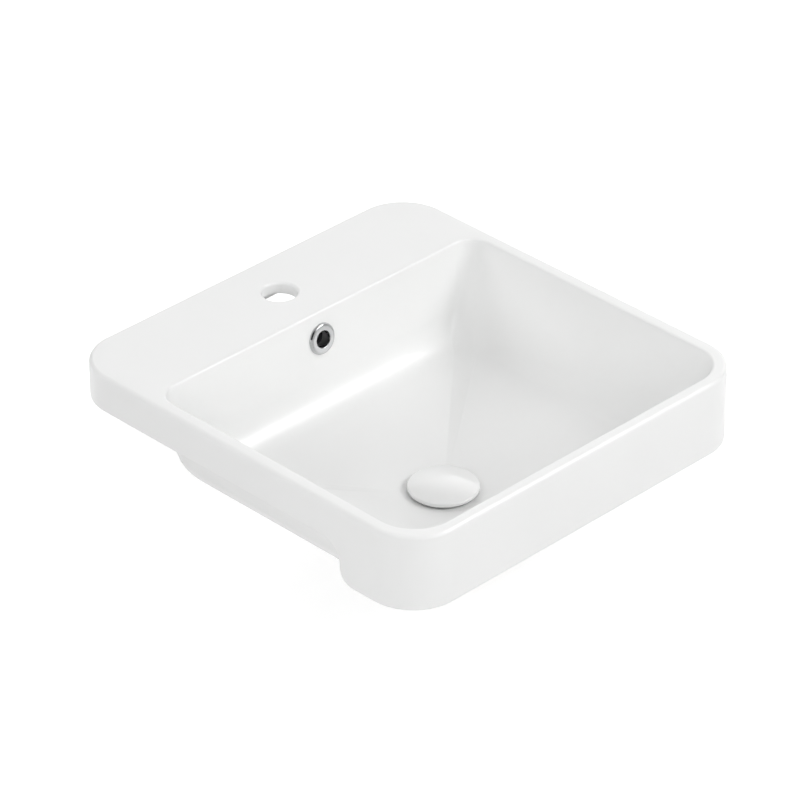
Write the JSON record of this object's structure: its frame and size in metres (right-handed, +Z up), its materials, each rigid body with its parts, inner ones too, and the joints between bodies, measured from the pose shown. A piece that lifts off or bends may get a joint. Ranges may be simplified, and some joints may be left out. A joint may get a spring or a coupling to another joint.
{
  "type": "washbasin",
  "caption": "White ceramic semi-recessed washbasin with tap deck, deep front apron, overflow ring and a push-to-open waste under a round ceramic cap.",
  "frame": {"origin": "middle of the basin's outline, on the plane of the counter top that the rim stands on", "axes": "+X to the basin's right side seen by someone standing at its front, +Y towards the wall behind it, +Z up"},
  "size_m": [0.455, 0.47, 0.219],
  "materials": {
    "glazed_clay": "white gloss glaze",
    "chromed_brass": "polished chrome plate on brass",
    "raw_brass": "turned brass, not plated",
    "black_rubber": "moulded rubber, matt",
    "white_plastic": "moulded plastic, satin",
    "black_plastic": "moulded plastic, satin",
    "spring_steel": "drawn stainless wire",
    "red_fibre": "pressed fibre"
  },
  "bodies": {
    "basin": {"basin_body": "glazed_clay", "overflow_ring": "chromed_brass", "overflow_sleeve": "black_plastic", "waste_body": "chromed_brass", "flange_seal": "black_rubber", "rubber_gasket": "black_rubber", "slip_washer": "white_plastic", "back_nut": "raw_brass", "mechanism_housing": "raw_brass", "housing_washer": "red_fibre", "housing_bonnet": "raw_brass", "spindle_seal": "black_rubber", "click_spring": "spring_steel"},
    "plug": {"plug_cap": "glazed_clay", "cap_pad": "white_plastic", "plug_carrier": "chromed_brass", "plug_ring": "black_rubber", "lock_nut": "raw_brass", "spindle": "chromed_brass"},
    "rotor": {"ratchet": "white_plastic"}
  },
  "joints": [
    {"name": "plug_lift", "type": "slide", "parent": "basin", "child": "plug", "axis": [0, 0, 1], "range_m": [-0.0015, 0.0085], "deforming": ["click_spring"]},
    {"name": "rotor_turn", "type": "hinge", "parent": "plug", "child": "rotor", "pos_m": [0, -0.0488, -0.118], "axis": [0, 0, 1], "range_deg": [-8, 45]}
  ],
  "couplings": [
    {"joint": "rotor_turn", "follows": "plug_lift", "rad_per_m": 92}
  ]
}
